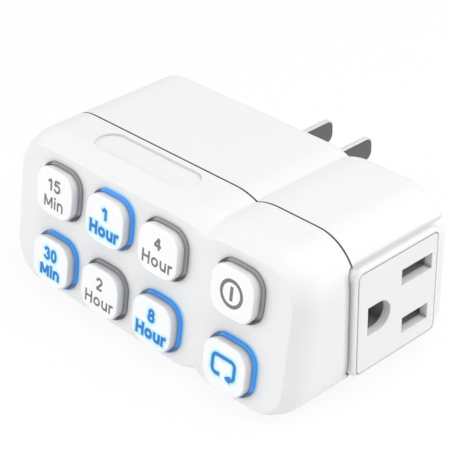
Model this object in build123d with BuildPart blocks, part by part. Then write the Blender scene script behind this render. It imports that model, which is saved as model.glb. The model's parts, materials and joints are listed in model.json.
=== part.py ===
from build123d import *
import os
from math import acos, cos, degrees, radians, sin, sqrt, tan

os.makedirs("parts", exist_ok=True)

# A plug-in timer switch with an outlet at each end and eight push buttons.
# Millimetres. +X is to the right as the buttons are seen, -Y is towards the user, +Z is up.
# The origin is on the flat rear face that lies on the wall, at the middle of its width and height.
# A depth is a distance in front of that rear face, so it is measured along -Y.

# ---- body ----
body_width = 94.2
body_height = 38.8
corner_radius = 10.6
wall = 2.0
parting_depth = 30.5
parting_gap = 0.45
rear_edge_radius = 3.0

# ---- button panel and the rolled rim round it ----
panel_depth = 48.5
panel_tilt = 9.2
panel_wall = 2.2
rim_radius = 12.5
rim_inset = 2.4
rim_blend = 0.8
crease_radius = 0.8

# ---- shallow valley between the two lobes ----
valley_end = 28.9
valley_half = 6.5
valley_drop = 1.35

# ---- bare badge recess on the top ----
badge_end = 35.95
badge_depth = 36.5
badge_length = 32.6
badge_width = 8.1
badge_recess = 0.6

# ---- locating lip inside the joint ----
lip_length = 6.0
lip_thickness = 1.2
lip_clearance = 0.15
lip_root = 3.0

# ---- outlets ----
outlet_z = -0.6
slot_depth = 12.1
blade_pitch = 12.7
ground_offset = 11.9
slot_width = 4.0
neutral_slot = 10.0
line_slot = 8.6
ground_hole = 7.2
ground_flat = 3.7
frame_proud = 1.0
plate_depth = 18.05
plate_z = -0.3
plate_length = 25.3
plate_height = 25.2
plate_corner = 1.2
plate_thickness = 2.0
plate_clearance = 0.3
plate_edge = 0.3
plate_seat = 0.05
frame_front = 1.3
frame_rear = 1.1
frame_top = 1.2
frame_bottom = 0.9
frame_corner = 2.6
frame_edge = 0.6
frame_block = 6.6
groove_width = 0.3
groove_edge = 0.5

# ---- contact housings ----
housing_inset_y = 0.7
housing_inset_z = 2.1
housing_length = 18.5
housing_clearance = 0.15
clip_cavity_y = 10.4
clip_cavity_z = 4.8
ground_cavity = 8.2

# ---- plug ----
plug_x = 1.7
plug_z = 9.2
blade_width = 6.35
blade_thickness = 1.52
blade_length = 17.6
blade_tip = 2.4
blade_bevel = 0.38
blade_step = 1.6
blade_shoulder = 2.4
shoulder_thickness = 1.2
pin_diameter = 4.8
pin_length = 20.6
pin_nose = 2.1
pin_root = 4.2
pin_collar = 1.7
plug_clearance = 0.05
carrier_thickness = 3.4
carrier_margin = 3.6

# ---- busbars and contact clips ----
strip = 0.8
strip_width = 5.0
clip_leaf = 0.6
clip_width = 6.0
clip_length = 14.0
clip_gap = 1.5
ground_clip_gap = 4.5
stem_length = 8.0
clip_seat = 0.55
leg_gap = 1.85

# ---- buttons ----
column_first_end = 18.0
column_last_end = 17.2
column_ratio = 3.296
row_top_edge = 11.0
row_bottom_edge = 10.1
cap_width = 12.9
cap_height = 11.7
cap_corner = 4.0
cap_bulge = 0.35
cap_thickness = 0.9
cap_edge = 0.45
button_proud = 2.8
button_travel = 0.8
skirt_inset = 0.12
skirt_wall = 1.1
skirt_roof = 1.0
skirt_flange = 0.7
skirt_flange_thickness = 0.8
skirt_clearance = 0.15
stem_diameter = 3.2
ring_proud = 0.7
ring_wall = 0.6
ring_flange = 0.4
ring_flange_thickness = 1.0
ring_clearance = 0.05
button_gap = 0.1

# ---- push switches and the keypad board ----
switch_size = 6.0
switch_height = 3.4
plunger_diameter = 3.4
plunger_proud = 0.9
plunger_depth = 1.9
plunger_clearance = 0.1
board_thickness = 1.6
keypad_gap = 0.65
keypad_top_edge = 7.1
keypad_bottom_edge = 5.2
lamp_length = 2.8
lamp_width = 1.4
lamp_height = 1.2
lamp_drop = 4.0
chip_length = 9.9
chip_width = 5.3
chip_height = 1.6
chip_edge = 0.32
chip_x = -8.0
chip_v = -8.5
post_diameter = 4.6
post_above = 0.2
post_below = 1.1

# ---- power board and what it carries ----
power_depth = 33.2
power_side_gap = 3.0
power_lip_gap = 0.6
power_post_x = 22.0
power_post_edge = 1.5
component_edge = 0.55
relay_size = (19.0, 15.2, 14.6)
relay_x = 7.0
relay_z = -4.6
dropper_size = (18.0, 12.0, 7.5)
dropper_x = -8.5
dropper_z = 9.0
smoother_diameter = 8.0
smoother_height = 12.0
smoother_x = -15.5
smoother_z = -5.6
varistor_diameter = 9.0
varistor_thickness = 3.8
varistor_gap = 0.2
varistor_z = 8.6
varistor_lift = 1.0
varistor_leg = 3.0
varistor_leg_pitch = 4.5
varistor_leg_diameter = 0.9
fuse_diameter = 3.2
fuse_length = 8.0
fuse_x = -8.0
fuse_edge = 1.5
diode_diameter = 2.6
diode_length = 4.4
diode_x = -7.0
diode_z = -3.4
diode_pitch_z = 4.4
header_x = 6.0
header_edge = 1.3
header_length = 18.4
header_width = 2.5
header_height = 2.5
header_pins = 7
header_pitch = 2.54
header_pin = 0.64
lead_diameter = 1.8
lead_gap = 2.35
lead_drop = 2.4
lead_bend = 3.6

# ---- screws ----
screw_diameter = 2.0
screw_clearance = 0.05
screw_hole_clearance = 0.1
pilot_spare = 1.0
screw_head = 3.8
screw_head_height = 1.3
screw_length = 6.0
casing_screw_diameter = 2.6
casing_screw_head = 4.2
casing_screw_head_height = 1.6
casing_screw_length = 18.0
casing_screw_depth = 20.0
drive_length = 2.6
drive_width = 0.5
drive_depth = 0.8
column_diameter = 6.0
column_bore = 4.5
column_end = 9.1
column_gap = 0.4

# ---- worked out from the sizes above ----
half_width = body_width / 2
half_height = body_height / 2
lobe_radius = (valley_half**2 + valley_drop**2) / (2 * valley_drop)
rim_angle = degrees(acos(1 - rim_inset / rim_radius))
rim_flank = rim_inset / tan(radians(rim_angle))
valley_x = half_width - valley_end
badge_x = badge_end - half_width
outlet_face = half_width + frame_proud
plate_front = plate_depth + plate_length / 2
plate_rear = plate_depth - plate_length / 2
frame_lo = plate_z - plate_height / 2 - frame_bottom
frame_hi = plate_z + plate_height / 2 + frame_top
frame_front_edge = plate_front + frame_front
frame_rear_edge = plate_rear - frame_rear
mouth_depth = frame_front_edge + groove_width

# The soft edge of the groove takes at most half of the flat wall between the groove and the rim.
rim_reach = rim_flank + rim_blend * rim_radius * tan(radians(rim_angle / 2))
rim_start = panel_depth - frame_hi * tan(radians(panel_tilt)) - rim_reach
mouth_round = min(groove_edge, (rim_start - mouth_depth) / 2)

housing_y = plate_length - 2 * housing_inset_y
housing_z = plate_height - 2 * housing_inset_z
housing_inner = outlet_face - plate_thickness - housing_clearance - housing_length
stem_x = housing_inner + clip_seat
cross_x = stem_x - stem_length
ground_leg_x = housing_inner - leg_gap

# Three columns of buttons stand on the left lobe and one on the right, in two rows. The gap
# between the lobes' columns is wider than the pitch, so the whole row is more than three pitches.
column_first = column_first_end - half_width
column_last = half_width - column_last_end
column_pitch = (column_last - column_first) / column_ratio
columns = [column_first, column_first + column_pitch, column_first + 2 * column_pitch, column_last]
row_top = half_height - row_top_edge
row_bottom = row_bottom_edge - half_height
button_places = [(x, row) for row in (row_top, row_bottom) for x in columns[:3]]
button_places += [(column_last, row_top), (column_last, row_bottom)]
button_names = ["15_min", "1_hour", "4_hour", "30_min", "2_hour", "8_hour", "power", "repeat"]
button_at = dict(zip(button_names, button_places))
corners = [(x, z) for x in (-1, 1) for z in (-1, 1)]

# How near an edge has to lie to a plane to count as lying in it.
picking = 0.01

# Screw columns, the two boards between them, and the keypad's posts between the buttons.
column_x = half_width - column_end
column_z = housing_z / 2 - plate_z + column_gap + column_diameter / 2
keypad_half = column_x - column_diameter / 2 - keypad_gap
keypad_top = half_height - keypad_top_edge
keypad_bottom = keypad_bottom_edge - half_height
keypad_posts = [
    ((columns[0] + columns[1]) / 2, (row_top + row_bottom) / 2),
    ((columns[1] + columns[2]) / 2, (row_top + row_bottom) / 2),
    ((columns[2] + columns[3]) / 2, row_top + post_above),
    ((columns[2] + columns[3]) / 2, row_bottom - post_below),
]
power_width = 2 * (column_x - column_diameter / 2 - power_side_gap)
lip_inset = wall + lip_clearance
power_height = 2 * (half_height - lip_inset - lip_thickness - valley_drop - power_lip_gap)
power_post_z = power_height / 2 - power_post_edge
varistor_x = power_post_x - post_diameter / 2 - varistor_gap - varistor_diameter / 2
fuse_z = fuse_edge - power_height / 2
header_z = header_edge - power_height / 2

# Levels along the panel's outward normal; the panel's outer face is 0.
ring_foot = -panel_wall - ring_flange_thickness
skirt_top = button_proud - cap_thickness
skirt_flange_top = ring_foot - button_gap
skirt_foot = skirt_flange_top - skirt_flange_thickness
switch_top = skirt_foot - button_gap - plunger_proud
board_top = switch_top - switch_height
board_back = board_top - board_thickness


def station(depth):
    """Vertical plane across the body at a depth, facing the user."""
    return Plane(origin=(0, -depth, 0), x_dir=(1, 0, 0), z_dir=(0, -1, 0))


def panel(level=0.0, depth=panel_depth, tilt=panel_tilt):
    """Plane parallel to the sloped button panel, at a level above its outer face."""
    face = Plane(
        origin=(0, -depth, 0),
        x_dir=(1, 0, 0),
        z_dir=(0, -cos(radians(tilt)), sin(radians(tilt))),
    )
    return face.offset(level)


panel_axis = Axis((0, 0, 0), panel().z_dir)


def side(x):
    """Plane across the body's length at x, facing right, with y and z as its axes."""
    return Plane(origin=(x, 0, 0), x_dir=(0, 1, 0), z_dir=(1, 0, 0))


def save(part, label):
    """Label a finished piece and write its STEP file."""
    part.label = label
    export_step(part, f"parts/{label}.step")


def lobe_outline(end, inset):
    """Outline of one lobe, moved in by inset; it ends in an arc that forms half of the valley."""
    top = half_height - inset
    corner = corner_radius - inset
    lobe = lobe_radius - inset
    outer = end * (half_width - inset)
    corner_x = outer - end * corner
    lobe_x = valley_x + end * valley_half
    diagonal = sqrt(1 / 2)
    with BuildSketch(mode=Mode.PRIVATE) as outline:
        with BuildLine():
            Line((outer, 0), (outer, top - corner))
            ThreePointArc(
                (outer, top - corner),
                (corner_x + end * corner * diagonal, top - corner + corner * diagonal),
                (corner_x, top),
            )
            Line((corner_x, top), (lobe_x, top))
            ThreePointArc(
                (lobe_x, top),
                (lobe_x - end * lobe * diagonal, top - lobe + lobe * diagonal),
                (lobe_x - end * lobe, top - lobe),
            )
            Line((lobe_x - end * lobe, top - lobe), (lobe_x - end * lobe, 0))
            mirror(about=Plane.XZ)
        make_face()
    return outline.sketch


def body_outline(inset):
    """Outline of both lobes together, moved in by inset."""
    with BuildSketch(mode=Mode.PRIVATE) as outline:
        for end in (-1, 1):
            add(lobe_outline(end, inset))
    return outline.sketch


def front_lobe(end, inset, start):
    """One lobe from a depth up to the sloped panel, with its rolled rim, moved in by inset."""
    with BuildPart(mode=Mode.PRIVATE) as lobe:
        with BuildSketch(station(start)):
            add(lobe_outline(end, inset))
        extrude(amount=2 * panel_depth)
        split(bisect_by=panel(-panel_wall if inset else 0), keep=Keep.BOTTOM)
        face = lobe.faces().sort_by(panel_axis)[-1]
        chamfer(face.edges(), length=rim_inset, length2=rim_flank, reference=face)
        face = lobe.faces().sort_by(panel_axis)[-1]
        flank = [f for f in lobe.faces() if not f.is_same(face) and shared_edges(f, [face])]
        bends = [e for e in shared_edges(lobe, flank) if len(faces_at(e, flank)) == 1]
        fillet([e for e in bends if not faces_at(e, [face])], rim_blend * (rim_radius - inset))
        if not inset:
            fillet(lobe.faces().sort_by(panel_axis)[-1].edges(), crease_radius)
    return lobe.part


def faces_at(edge, faces):
    """Those of the faces that the edge bounds."""
    return [f for f in faces if any(edge.is_same(e) for e in f.edges())]


def shared_edges(shape, faces):
    """Edges of a shape that bound at least one of the faces."""
    return [e for e in shape.edges() if faces_at(e, faces)]


def frame_outline(grow):
    """Outline of the raised frame round an outlet, grown by the given amount on every side."""
    middle = (-(frame_front_edge + frame_rear_edge) / 2, (frame_lo + frame_hi) / 2)
    with BuildSketch(mode=Mode.PRIVATE) as outline:
        with Locations(middle):
            RectangleRounded(frame_front_edge - frame_rear_edge + 2 * grow,
                             frame_hi - frame_lo + 2 * grow, frame_corner + grow)
    return outline.sketch


def notched_lobe(end, start):
    """One lobe of the front casing, with the notch round its outlet frame and a soft outer edge."""
    floor = outlet_face - frame_block - groove_width
    with BuildPart(mode=Mode.PRIVATE) as notched:
        add(front_lobe(end, 0, start))
        with BuildSketch(side(end * floor)):
            add(frame_outline(groove_width))
        extrude(amount=end * 2 * frame_block, mode=Mode.SUBTRACT)
        mouth = notched.edges().filter_by(Axis.X, reverse=True)
        mouth = mouth.filter_by_position(Axis.Y, -mouth_depth - picking, -start - picking)
        fillet([e for e in mouth if end * e.center().X > floor + picking], mouth_round)
    return notched.part


def button_outline(grow):
    """Cushion-shaped button outline, grown by the given amount on every side."""
    x = cap_width / 2 + grow
    y = cap_height / 2 + grow
    with BuildSketch(mode=Mode.PRIVATE) as outline:
        with BuildLine():
            ThreePointArc((-x + cap_bulge, -y + cap_bulge), (0, -y), (x - cap_bulge, -y + cap_bulge))
            ThreePointArc((x - cap_bulge, -y + cap_bulge), (x, 0), (x - cap_bulge, y - cap_bulge))
            ThreePointArc((x - cap_bulge, y - cap_bulge), (0, y), (-x + cap_bulge, y - cap_bulge))
            ThreePointArc((-x + cap_bulge, y - cap_bulge), (-x, 0), (-x + cap_bulge, -y + cap_bulge))
        make_face()
        fillet(outline.vertices(), cap_corner + grow)
    return outline.sketch


def grow_button(grow, low, high, mode=Mode.ADD, places=((0, 0),)):
    """Extrude button outlines between two levels of the panel."""
    with BuildSketch(panel(low)) as outlines:
        with Locations(*places):
            add(button_outline(grow))
    extrude(outlines.sketch, amount=high - low, mode=mode)


def grow_disc(plane, places, diameter, amount, mode=Mode.ADD):
    """Extrude discs of one diameter from a plane."""
    with BuildSketch(plane) as discs:
        with Locations(*places):
            Circle(diameter / 2)
    extrude(discs.sketch, amount=amount, mode=mode)


# ---- front casing ----
column_at = [(x * column_x, z * column_z) for x, z in corners]
skirt_grow = -skirt_inset
ring_inner = skirt_grow + skirt_clearance
ring_outer = ring_inner + ring_wall

with BuildPart() as front_cavity:
    for end in (-1, 1):
        add(front_lobe(end, wall, parting_depth))
    grow_disc(station(parting_depth), column_at, column_diameter, panel_depth, Mode.SUBTRACT)
    grow_disc(panel(board_top), keypad_posts, post_diameter, -board_top, Mode.SUBTRACT)

with BuildPart() as front_casing:
    for end in (-1, 1):
        add(notched_lobe(end, parting_depth + parting_gap))
    add(front_cavity.part, mode=Mode.SUBTRACT)
    # Holes for the light rings, and pockets behind them for the flanges and their travel.
    grow_button(ring_outer + ring_clearance, -2 * panel_wall, panel_wall, Mode.SUBTRACT, button_places)
    grow_button(ring_outer + ring_flange + ring_clearance, skirt_foot - button_travel - button_gap,
                -panel_wall, Mode.SUBTRACT, button_places)
    # Bare badge recess on the left lobe.
    with BuildSketch(Plane.XY.offset(half_height - badge_recess)):
        with Locations((badge_x, -badge_depth)):
            SlotOverall(badge_length, badge_width)
    extrude(amount=wall, mode=Mode.SUBTRACT)
    # Pilot holes for the casing screws and the keypad screws.
    pilot = casing_screw_depth + casing_screw_length + pilot_spare - parting_depth
    grow_disc(station(parting_depth), column_at, casing_screw_diameter + 2 * screw_clearance,
              pilot, Mode.SUBTRACT)
    grow_disc(panel(board_top), keypad_posts, screw_diameter + 2 * screw_clearance,
              screw_length - board_thickness, Mode.SUBTRACT)
save(front_casing.part, "front_casing")

# ---- rear casing ----
post_at = [(x * power_post_x, z * power_post_z) for x, z in corners]
plug_blades = [(plug_x - blade_pitch / 2, plug_z), (plug_x + blade_pitch / 2, plug_z)]
pin_at = (plug_x, plug_z - ground_offset)

with BuildPart() as rear_cavity:
    with BuildSketch(station(wall)):
        add(body_outline(wall))
    extrude(amount=parting_depth)
    grow_disc(station(wall), column_at, column_diameter, parting_depth, Mode.SUBTRACT)
    grow_disc(station(wall), post_at, post_diameter, power_depth - wall, Mode.SUBTRACT)

with BuildPart() as lip_ring:
    with BuildSketch(station(parting_depth - lip_root)):
        add(body_outline(wall / 2))
        add(body_outline(lip_inset + lip_thickness), mode=Mode.SUBTRACT)
    extrude(amount=lip_root)
    with BuildSketch(station(parting_depth)):
        add(body_outline(lip_inset))
        add(body_outline(lip_inset + lip_thickness), mode=Mode.SUBTRACT)
    extrude(amount=lip_length)
    grow_disc(station(parting_depth), column_at, column_diameter + 2 * lip_clearance,
              lip_length, Mode.SUBTRACT)

with BuildPart() as rear_casing:
    for end in (-1, 1):
        with BuildPart(mode=Mode.PRIVATE) as rear_lobe:
            with BuildSketch(station(0)):
                add(lobe_outline(end, 0))
            extrude(amount=parting_depth)
            fillet(rear_lobe.faces().sort_by(Axis.Y)[-1].edges(), rear_edge_radius)
        add(rear_lobe.part)
    add(rear_cavity.part, mode=Mode.SUBTRACT)
    add(lip_ring.part)
    for end in (-1, 1):
        face = side(end * outlet_face)
        inward = -end
        with BuildSketch(face):
            add(frame_outline(0))
        extrude(amount=inward * frame_block)
        rim = rear_casing.faces().filter_by(Axis.X).sort_by(Axis.X)[-1 if end > 0 else 0]
        fillet(rim.edges(), frame_edge)
        # Pocket for the outlet plate.
        with BuildSketch(face):
            with Locations((-plate_depth, plate_z)):
                RectangleRounded(
                    plate_length + 2 * plate_clearance,
                    plate_height + 2 * plate_clearance,
                    plate_corner + plate_clearance,
                )
        extrude(amount=inward * (plate_thickness + plate_seat), mode=Mode.SUBTRACT)
        # Way through for the contact housing.
        with BuildSketch(face):
            with Locations((-plate_depth, plate_z)):
                Rectangle(housing_y + 2 * housing_clearance, housing_z + 2 * housing_clearance)
        extrude(amount=inward * 2 * frame_block, mode=Mode.SUBTRACT)
    # Slots for the blades and the ground pin in the wall face.
    with BuildSketch(station(0)):
        with Locations(*plug_blades):
            Rectangle(blade_thickness + 2 * plug_clearance, blade_width + 2 * plug_clearance)
        with Locations(pin_at):
            Circle(pin_diameter / 2 + plug_clearance)
    extrude(amount=wall, mode=Mode.SUBTRACT)
    # Casing screws: head pocket from the wall face, then a clearance hole.
    grow_disc(station(0), column_at, column_bore, casing_screw_depth, Mode.SUBTRACT)
    grow_disc(station(0), column_at, casing_screw_diameter + 2 * screw_hole_clearance,
              parting_depth, Mode.SUBTRACT)
    # Pilot holes in the power board's posts.
    grow_disc(station(power_depth), post_at, screw_diameter + 2 * screw_clearance,
              board_thickness - screw_length, Mode.SUBTRACT)
save(rear_casing.part, "rear_casing")


# ---- outlet plates and contact housings ----
def slot_places(end):
    """Heights of the neutral slot and the line slot at one end of the body."""
    return outlet_z + end * blade_pitch / 2, outlet_z - end * blade_pitch / 2


for end, word in ((1, "right"), (-1, "left")):
    neutral_z, line_z = slot_places(end)
    inward = -end
    with BuildPart() as outlet_plate:
        with BuildSketch(side(end * outlet_face)):
            with Locations((-plate_depth, plate_z)):
                RectangleRounded(plate_length, plate_height, plate_corner)
            with Locations((-slot_depth, neutral_z)):
                Rectangle(neutral_slot, slot_width, mode=Mode.SUBTRACT)
            with Locations((-slot_depth, line_z)):
                Rectangle(line_slot, slot_width, mode=Mode.SUBTRACT)
            with Locations((-slot_depth - ground_offset, outlet_z)):
                Circle(ground_hole / 2, mode=Mode.SUBTRACT)
            with Locations((-slot_depth - ground_offset - ground_flat / 2, outlet_z)):
                Rectangle(ground_flat, ground_hole, mode=Mode.SUBTRACT)
        extrude(amount=inward * plate_thickness)
        face = outlet_plate.faces().sort_by(Axis.X)[-1 if end > 0 else 0]
        fillet(face.outer_wire().edges(), plate_edge)
    save(outlet_plate.part, f"outlet_plate_{word}")

    with BuildPart() as contact_housing:
        with BuildSketch(side(end * (outlet_face - plate_thickness - housing_clearance))):
            with Locations((-plate_depth, plate_z)):
                RectangleRounded(housing_y, housing_z, plate_corner)
            with Locations((-slot_depth, neutral_z), (-slot_depth, line_z)):
                Rectangle(clip_cavity_y, clip_cavity_z, mode=Mode.SUBTRACT)
            with Locations((-slot_depth - ground_offset, outlet_z)):
                Rectangle(ground_cavity, ground_cavity, mode=Mode.SUBTRACT)
        extrude(amount=inward * housing_length)
    save(contact_housing.part, f"contact_housing_{word}")


# ---- buttons, light rings and switch plungers ----
for name, place in button_at.items():
    with BuildPart() as button_cap:
        grow_button(0, skirt_top, button_proud, places=[place])
        fillet(button_cap.faces().sort_by(panel_axis)[-1].edges(), cap_edge)
    save(button_cap.part, f"button_cap_{name}")

    with BuildPart() as button_skirt:
        grow_button(skirt_grow, skirt_flange_top, skirt_top, places=[place])
        grow_button(ring_inner + skirt_flange, skirt_foot, skirt_flange_top, places=[place])
        grow_button(skirt_grow - skirt_wall, skirt_foot, skirt_top - skirt_roof, Mode.SUBTRACT, [place])
        grow_disc(panel(skirt_foot), [place], stem_diameter, skirt_top - skirt_foot)
    save(button_skirt.part, f"button_skirt_{name}")

    with BuildPart() as light_ring:
        grow_button(ring_outer, -panel_wall, ring_proud, places=[place])
        grow_button(ring_outer + ring_flange, ring_foot, -panel_wall, places=[place])
        grow_button(ring_inner, ring_foot, ring_proud, Mode.SUBTRACT, [place])
    save(light_ring.part, f"light_ring_{name}")

    with BuildPart() as switch_plunger:
        grow_disc(panel(switch_top - plunger_depth), [place], plunger_diameter,
                  plunger_depth + plunger_proud + button_gap)
    save(switch_plunger.part, f"switch_plunger_{name}")

# ---- keypad board with its switches, lamps and chip ----
with BuildPart() as switch_housings:
    with BuildSketch(panel(board_top)):
        with Locations(*button_places):
            Rectangle(switch_size, switch_size)
    extrude(amount=switch_height)
    grow_disc(panel(switch_top), button_places, plunger_diameter + 2 * plunger_clearance,
              -(plunger_depth + button_travel + plunger_clearance), Mode.SUBTRACT)
save(switch_housings.part, "switch_housings")

with BuildPart() as keypad_board:
    with BuildSketch(panel(board_back)):
        with Locations((0, (keypad_top + keypad_bottom) / 2)):
            Rectangle(2 * keypad_half, keypad_top - keypad_bottom)
    extrude(amount=board_thickness)
    grow_disc(panel(board_back), keypad_posts, screw_diameter + 2 * screw_clearance,
              board_thickness, Mode.SUBTRACT)
save(keypad_board.part, "keypad_board")

with BuildPart() as keypad_lamps:
    with BuildSketch(panel(board_top)):
        with Locations(*[(x, v - lamp_drop) for x, v in button_places]):
            Rectangle(lamp_length, lamp_width)
    extrude(amount=lamp_height)
save(keypad_lamps.part, "keypad_lamps")

with BuildPart() as microcontroller:
    with BuildSketch(panel(board_back)):
        with Locations((chip_x, chip_v)):
            Rectangle(chip_length, chip_width)
    extrude(amount=-chip_height)
    chamfer(microcontroller.faces().sort_by(panel_axis)[0].edges(), chip_edge)
save(microcontroller.part, "microcontroller")

# ---- power board ----
with BuildPart() as power_board:
    with BuildSketch(station(power_depth)):
        Rectangle(power_width, power_height)
    extrude(amount=board_thickness)
    grow_disc(station(power_depth), post_at, screw_diameter + 2 * screw_clearance,
              board_thickness, Mode.SUBTRACT)
save(power_board.part, "power_board")

with BuildPart() as relay:
    with BuildSketch(station(power_depth)):
        with Locations((relay_x, relay_z)):
            Rectangle(relay_size[0], relay_size[1])
    extrude(amount=-relay_size[2])
    fillet(relay.faces().sort_by(Axis.Y)[-1].edges(), component_edge)
save(relay.part, "relay")

with BuildPart() as dropper_capacitor:
    with BuildSketch(station(power_depth)):
        with Locations((dropper_x, dropper_z)):
            Rectangle(dropper_size[0], dropper_size[2])
    extrude(amount=-dropper_size[1])
    fillet(dropper_capacitor.faces().sort_by(Axis.Y)[-1].edges(), component_edge)
save(dropper_capacitor.part, "dropper_capacitor")

with BuildPart() as smoothing_capacitor:
    grow_disc(station(power_depth), [(smoother_x, smoother_z)], smoother_diameter, -smoother_height)
    fillet(smoothing_capacitor.faces().sort_by(Axis.Y)[-1].edges(), component_edge)
save(smoothing_capacitor.part, "smoothing_capacitor")

with BuildPart() as varistor:
    disc_depth = power_depth - varistor_lift - varistor_diameter / 2
    with BuildSketch(Plane.XY.offset(varistor_z - varistor_thickness / 2)):
        with Locations((varistor_x, -disc_depth)):
            Circle(varistor_diameter / 2)
    extrude(amount=varistor_thickness)
    fillet(varistor.edges(), component_edge)
    legs = [(varistor_x + s * varistor_leg_pitch / 2, varistor_z) for s in (-1, 1)]
    grow_disc(station(power_depth), legs, varistor_leg_diameter, -varistor_leg)
save(varistor.part, "varistor")

with BuildPart() as fuse:
    with BuildSketch(side(fuse_x - fuse_length / 2)):
        with Locations((-(power_depth - fuse_diameter / 2), fuse_z)):
            Circle(fuse_diameter / 2)
    extrude(amount=fuse_length)
    fillet(fuse.edges(), component_edge)
save(fuse.part, "fuse")

with BuildPart() as rectifier_diodes:
    with BuildSketch(side(diode_x - diode_length / 2)):
        with Locations(*[(-(power_depth - diode_diameter / 2), diode_z + z * diode_pitch_z / 2)
                         for z in (-1, 1)]):
            Circle(diode_diameter / 2)
    extrude(amount=diode_length)
save(rectifier_diodes.part, "rectifier_diodes")

power_front = power_depth + board_thickness
with BuildPart() as board_header:
    pin_row = [(header_x + (i - (header_pins - 1) / 2) * header_pitch, header_z)
               for i in range(header_pins)]
    with BuildSketch(station(power_front)):
        with Locations(*pin_row):
            Rectangle(header_pin, header_pin)
    extrude(amount=panel_depth - power_front)
    split(bisect_by=panel(board_back), keep=Keep.BOTTOM)
    with BuildSketch(station(power_front)):
        with Locations((header_x, header_z)):
            Rectangle(header_length, header_width)
    extrude(amount=header_height)
save(board_header.part, "board_header")

# ---- plug: blades, ground pin and the carrier that traps them ----
carrier_front = wall + carrier_thickness
neutral_cross = slot_depth + strip_width / 2
line_cross = slot_depth - strip_width / 2
blade_tail = {"neutral": neutral_cross, "line": carrier_front + 2 * strip}
shoulder_width = blade_width + blade_shoulder

for (x, z), word in zip(plug_blades, ("neutral", "line")):
    with BuildPart() as blade:
        with BuildSketch(side(x - blade_thickness / 2)):
            with Locations(((blade_length - wall) / 2, z)):
                Rectangle(blade_length + wall, blade_width)
            with Locations((-blade_tail[word] / 2 - wall / 2, z)):
                Rectangle(blade_tail[word] - wall, blade_width - blade_step)
            with Locations((-wall - shoulder_thickness / 2, z)):
                Rectangle(shoulder_thickness, shoulder_width)
        extrude(amount=blade_thickness)
        tips = blade.edges().filter_by(Axis.X).group_by(Axis.Y)[-1]
        fillet(tips, blade_tip)
        sides = blade.faces().sort_by(Axis.Y)[-1].edges().filter_by(Axis.Z)
        chamfer(sides, blade_bevel)
    save(blade.part, f"{word}_blade")

with BuildPart() as ground_pin:
    grow_disc(station(0), [pin_at], pin_diameter, -pin_length)
    fillet(ground_pin.faces().sort_by(Axis.Y)[-1].edges(), pin_nose)
    grow_disc(station(0), [pin_at], pin_root, carrier_front)
    grow_disc(station(wall), [pin_at], pin_root + 2 * pin_collar, shoulder_thickness)
save(ground_pin.part, "ground_pin")

carrier_low = pin_at[1] - pin_diameter / 2 - carrier_margin
carrier_high = plug_z + shoulder_width / 2 + carrier_margin / 2
carrier_half = blade_pitch / 2 + carrier_margin
with BuildPart() as blade_carrier:
    with BuildSketch(station(wall)):
        with Locations((plug_x, (carrier_low + carrier_high) / 2)):
            RectangleRounded(2 * carrier_half, carrier_high - carrier_low, plate_corner)
        with Locations(*plug_blades):
            Rectangle(blade_thickness + 2 * plug_clearance, blade_width + 2 * plug_clearance,
                      mode=Mode.SUBTRACT)
        with Locations(pin_at):
            Circle(pin_root / 2 + plug_clearance, mode=Mode.SUBTRACT)
    extrude(amount=carrier_thickness)
    with BuildSketch(station(wall)):
        with Locations(*plug_blades):
            Rectangle(blade_thickness + 2 * plug_clearance, shoulder_width + 2 * plug_clearance)
        with Locations(pin_at):
            Circle(pin_root / 2 + pin_collar + plug_clearance)
    extrude(amount=shoulder_thickness + plug_clearance, mode=Mode.SUBTRACT)
save(blade_carrier.part, "blade_carrier")


# ---- busbars ----
def clip(end, y_depth, z, gap):
    """Two leaves that grip a plug's blade, joined by a web at the inner end."""
    leaves = [(-y_depth, z + s * (gap + clip_leaf) / 2) for s in (-1, 1)]
    with BuildSketch(side(end * stem_x)) as leaf:
        with Locations(*leaves):
            Rectangle(clip_width, clip_leaf)
    extrude(leaf.sketch, amount=end * clip_length)
    with BuildSketch(side(end * stem_x)) as web:
        with Locations((-y_depth, z)):
            Rectangle(clip_width, gap + 2 * clip_leaf)
    extrude(web.sketch, amount=end * strip)


def stem(end, y_depth, z):
    """Flat strip from a clip's web towards the middle of the body."""
    with BuildSketch(Plane.XY.offset(z - strip / 2)) as flat:
        with Locations((end * (cross_x + stem_x) / 2, -y_depth)):
            Rectangle(stem_x - cross_x, strip_width)
    extrude(flat.sketch, amount=strip)


def cross(y_face, z_right, z_left):
    """Strip that crosses the body from one outlet's height to the other's."""
    half = strip_width / 2
    with BuildSketch(station(y_face)) as slope:
        with BuildLine():
            Polyline(
                (cross_x, z_right - half), (cross_x, z_right + half),
                (-cross_x, z_left + half), (-cross_x, z_left - half), close=True,
            )
        make_face()
        with Locations((cross_x, z_right), (-cross_x, z_left)):
            Rectangle(strip_width, strip_width)
    extrude(slope.sketch, amount=strip)


for word, cross_depth in (("neutral", neutral_cross), ("line", line_cross - strip)):
    with BuildPart() as busbar:
        level = {end: slot_places(end)[0 if word == "neutral" else 1] for end in (1, -1)}
        for end in (1, -1):
            clip(end, slot_depth, level[end], clip_gap)
            stem(end, slot_depth, level[end])
        cross(cross_depth, level[1], level[-1])
        if word == "neutral":
            tab_x = plug_blades[0][0]
            with BuildSketch(station(cross_depth)):
                with Locations((tab_x, (outlet_z + plug_z + blade_width / 2) / 2)):
                    Rectangle(strip_width, plug_z + blade_width / 2 - outlet_z)
            extrude(amount=strip)
    save(busbar.part, f"{word}_busbar")

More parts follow.
